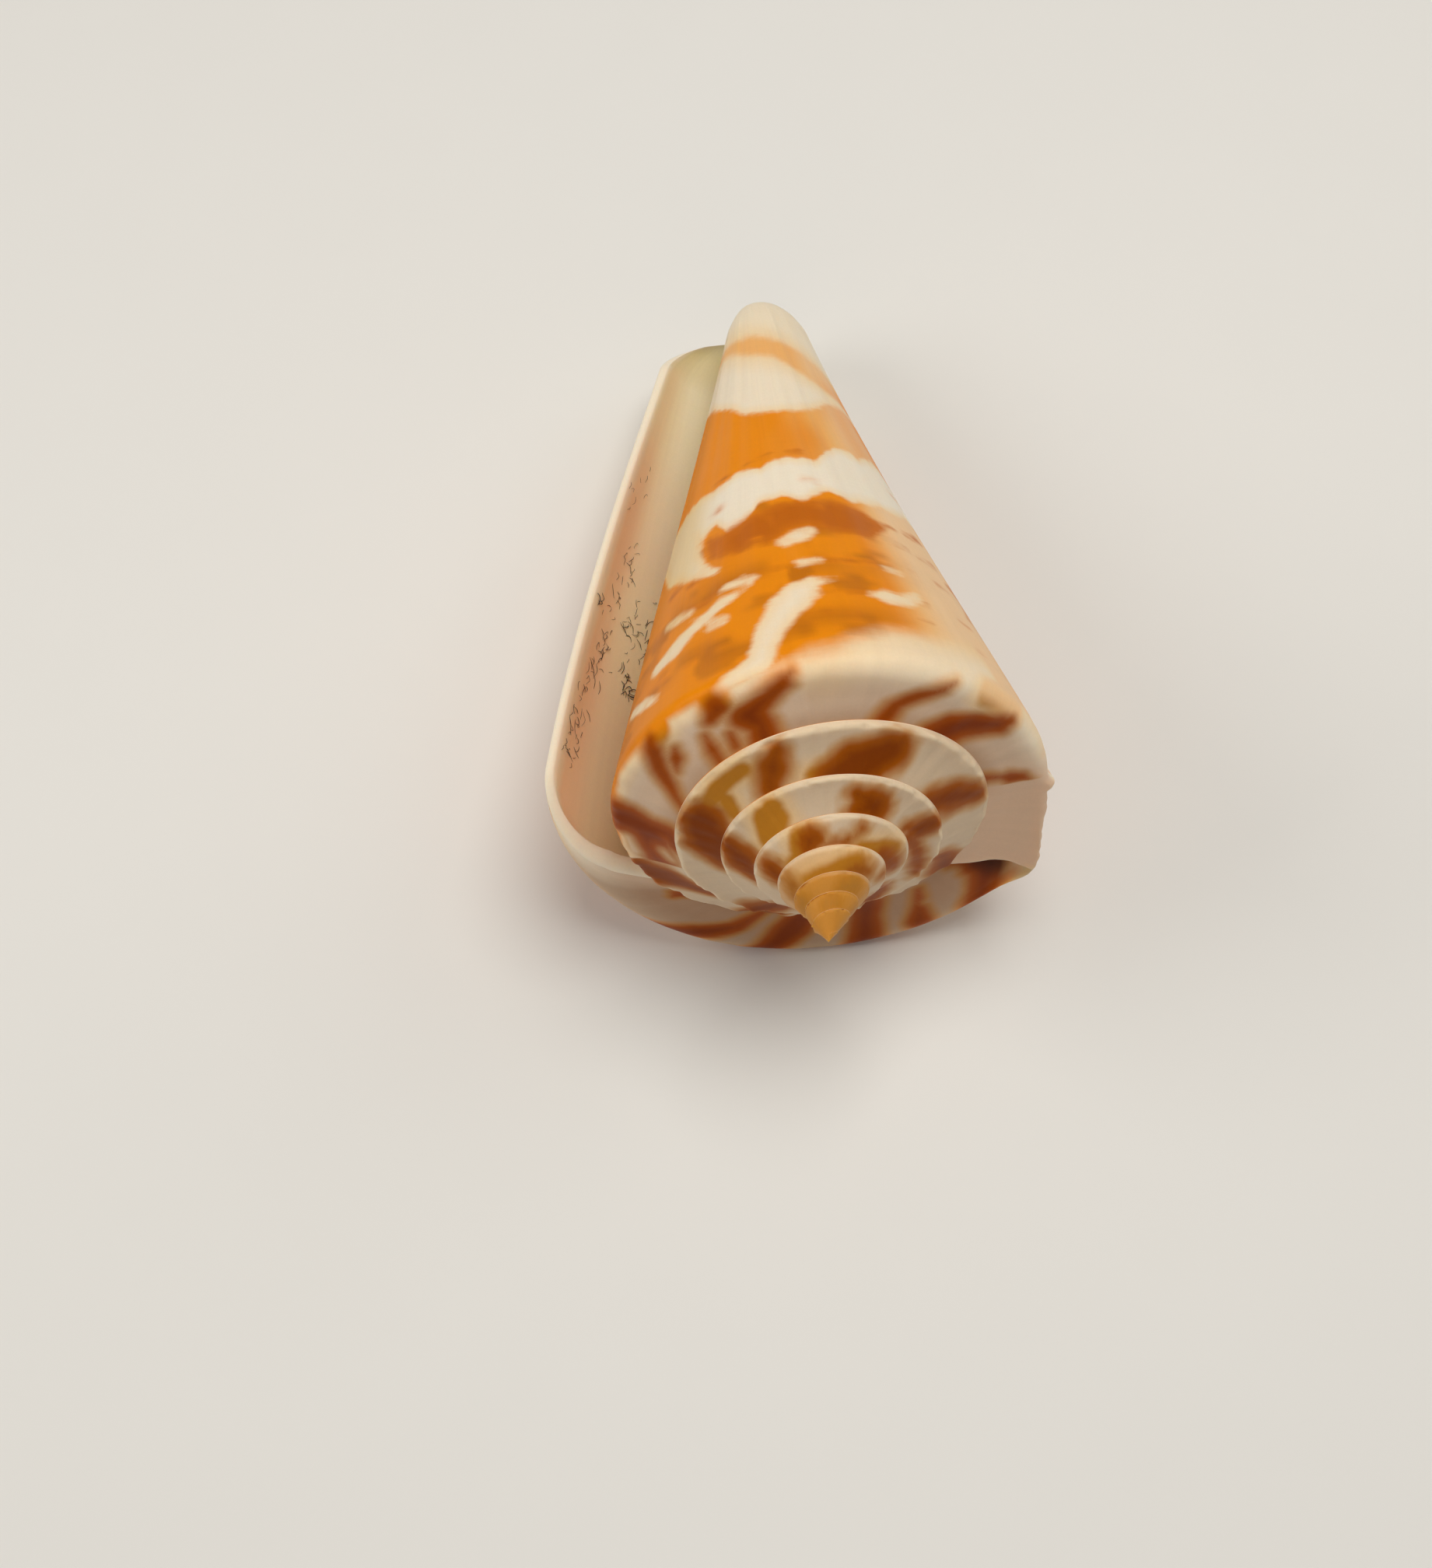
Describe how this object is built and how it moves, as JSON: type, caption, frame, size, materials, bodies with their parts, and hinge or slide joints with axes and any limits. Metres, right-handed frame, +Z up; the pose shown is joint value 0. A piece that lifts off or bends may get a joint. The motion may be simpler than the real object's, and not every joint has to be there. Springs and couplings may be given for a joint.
{
  "type": "cone shell",
  "caption": "Sea snail's cone shell, lying on its back, with a stepped spire, a long narrow mouth and an orange, brown and white pattern.",
  "frame": {"origin": "middle of the shell's bounding box, at the height of the surface it lies on", "axes": "+Y from the pointed spire towards the narrow front end, +Z up, +X to the right with the mouth on the left"},
  "size_m": [0.0254, 0.0436, 0.0242],
  "materials": {
    "shell": "satin gloss"
  },
  "bodies": {
    "root": {"shell": "shell"}
  },
  "joints": []
}
